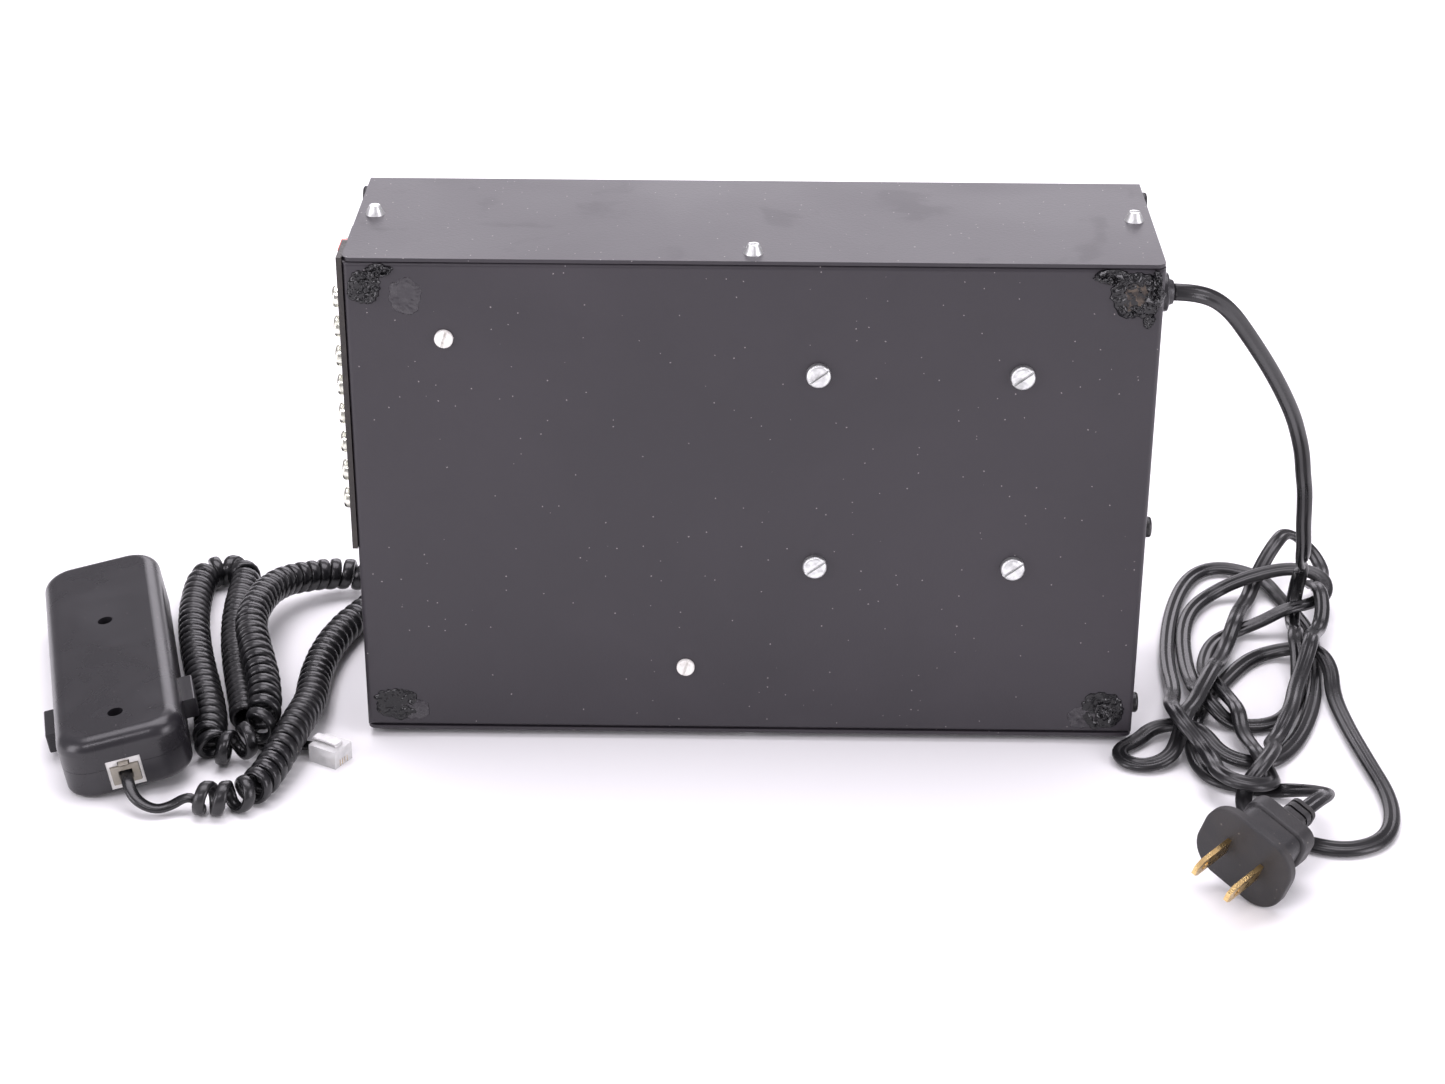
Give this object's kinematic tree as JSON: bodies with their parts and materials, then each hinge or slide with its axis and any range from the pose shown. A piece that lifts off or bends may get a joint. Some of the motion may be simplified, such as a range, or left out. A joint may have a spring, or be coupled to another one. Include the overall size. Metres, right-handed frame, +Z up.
{
  "type": "power distribution box",
  "caption": "Grey sheet-metal mains power distribution box with a side row of screw terminals, rocker switch, mains cord and a coiled-cord two-button remote handset.",
  "frame": {"origin": "Centre of the box's footprint, on the plane it stands on (the tips of the three lower cover screws).", "axes": "+X along the long side of the box, from the terminal wall to the mains-cord wall; -Y is the face of the underside plate, with the foot marks and screws; +Z up."},
  "size_m": [0.4734, 0.2506, 0.177],
  "materials": {
    "grey_paint": "satin grey enamel on steel sheet",
    "zinc": "zinc plated",
    "black_screw": "black oxide",
    "nickel": "nickel plated",
    "brass": "plain",
    "black_vinyl": "glossy soft vinyl",
    "black_plastic": "satin moulded",
    "red_plastic": "translucent",
    "clear_plastic": "clear",
    "white_plastic": "moulded",
    "fibre_board": "paper laminate",
    "adhesive": "old contact adhesive",
    "circuit": "glass laminate",
    "core_iron": "varnished laminations",
    "tape": "winding tape",
    "can": "sleeved can",
    "glass": "clear tube",
    "contacts": "gold plated"
  },
  "bodies": {
    "enclosure": {"base_pan": "grey_paint", "board_rivets": "brass", "button_switches": "white_plastic", "capacitor": "can", "circuit_board": "circuit", "cover": "grey_paint", "cover_screws": "zinc", "device_nuts": "zinc", "foot_adhesive": "adhesive", "fuse": "glass", "fuse_clips": "brass", "handset_back": "black_plastic", "handset_board": "circuit", "handset_front": "black_plastic", "handset_jack": "clear_plastic", "handset_plug": "clear_plastic", "handset_screws": "zinc", "lead_header": "white_plastic", "loose_contacts": "contacts", "loose_plug": "clear_plastic", "mains_blades": "brass", "mains_cord": "black_vinyl", "mains_leads": "black_vinyl", "mains_plug": "black_vinyl", "power_transistors": "black_plastic", "rectifier": "black_plastic", "relays": "black_plastic", "remote_coil": "black_vinyl", "remote_jack": "black_plastic", "remote_lead": "black_vinyl", "remote_tail": "black_vinyl", "side_screws": "black_screw", "solder_lugs": "brass", "standoff_screws": "zinc", "standoffs": "white_plastic", "strain_relief": "black_plastic", "switch_housing": "black_plastic", "terminal_board": "fibre_board", "terminal_leads": "red_plastic", "terminal_nuts": "zinc", "transformer_coil": "tape", "transformer_core": "core_iron", "transformer_frame": "zinc", "transformer_nuts": "zinc", "transformer_screws": "zinc"},
    "left_button": {"left_button": "black_plastic"},
    "right_button": {"right_button": "black_plastic"},
    "switch_rocker": {"switch_rocker": "red_plastic"},
    "terminal_screw_1": {"terminal_screw_1": "nickel"},
    "terminal_screw_2": {"terminal_screw_2": "nickel"},
    "terminal_screw_3": {"terminal_screw_3": "nickel"},
    "terminal_screw_4": {"terminal_screw_4": "nickel"},
    "terminal_screw_5": {"terminal_screw_5": "nickel"},
    "terminal_screw_6": {"terminal_screw_6": "nickel"},
    "terminal_screw_7": {"terminal_screw_7": "nickel"},
    "terminal_screw_8": {"terminal_screw_8": "nickel"}
  },
  "joints": [
    {"name": "left_push", "type": "slide", "parent": "enclosure", "child": "left_button", "axis": [0.9562, 0.2473, 0.1564], "range_m": [0, 0.002], "stiffness_N_per_m": 400},
    {"name": "right_push", "type": "slide", "parent": "enclosure", "child": "right_button", "axis": [-0.9562, -0.2473, -0.1564], "range_m": [0, 0.002], "stiffness_N_per_m": 400},
    {"name": "rocker_pivot", "type": "hinge", "parent": "enclosure", "child": "switch_rocker", "pos_m": [-0.1304, -0.004, 0.159], "axis": [0, 1, 0], "range_deg": [0, 20]},
    {"name": "terminal_turn_1", "type": "hinge", "parent": "enclosure", "child": "terminal_screw_1", "pos_m": [-0.13175, -0.032, 0.08704], "axis": [-1, 0, 0], "range_deg": [0, 360]},
    {"name": "terminal_turn_2", "type": "hinge", "parent": "enclosure", "child": "terminal_screw_2", "pos_m": [-0.13175, -0.032, 0.0972], "axis": [-1, 0, 0], "range_deg": [0, 360]},
    {"name": "terminal_turn_3", "type": "hinge", "parent": "enclosure", "child": "terminal_screw_3", "pos_m": [-0.13175, -0.032, 0.10736], "axis": [-1, 0, 0], "range_deg": [0, 360]},
    {"name": "terminal_turn_4", "type": "hinge", "parent": "enclosure", "child": "terminal_screw_4", "pos_m": [-0.13175, -0.032, 0.11752], "axis": [-1, 0, 0], "range_deg": [0, 360]},
    {"name": "terminal_turn_5", "type": "hinge", "parent": "enclosure", "child": "terminal_screw_5", "pos_m": [-0.13175, -0.032, 0.12768], "axis": [-1, 0, 0], "range_deg": [0, 360]},
    {"name": "terminal_turn_6", "type": "hinge", "parent": "enclosure", "child": "terminal_screw_6", "pos_m": [-0.13175, -0.032, 0.13784], "axis": [-1, 0, 0], "range_deg": [0, 360]},
    {"name": "terminal_turn_7", "type": "hinge", "parent": "enclosure", "child": "terminal_screw_7", "pos_m": [-0.13175, -0.032, 0.148], "axis": [-1, 0, 0], "range_deg": [0, 360]},
    {"name": "terminal_turn_8", "type": "hinge", "parent": "enclosure", "child": "terminal_screw_8", "pos_m": [-0.13175, -0.032, 0.15816], "axis": [-1, 0, 0], "range_deg": [0, 360]}
  ]
}
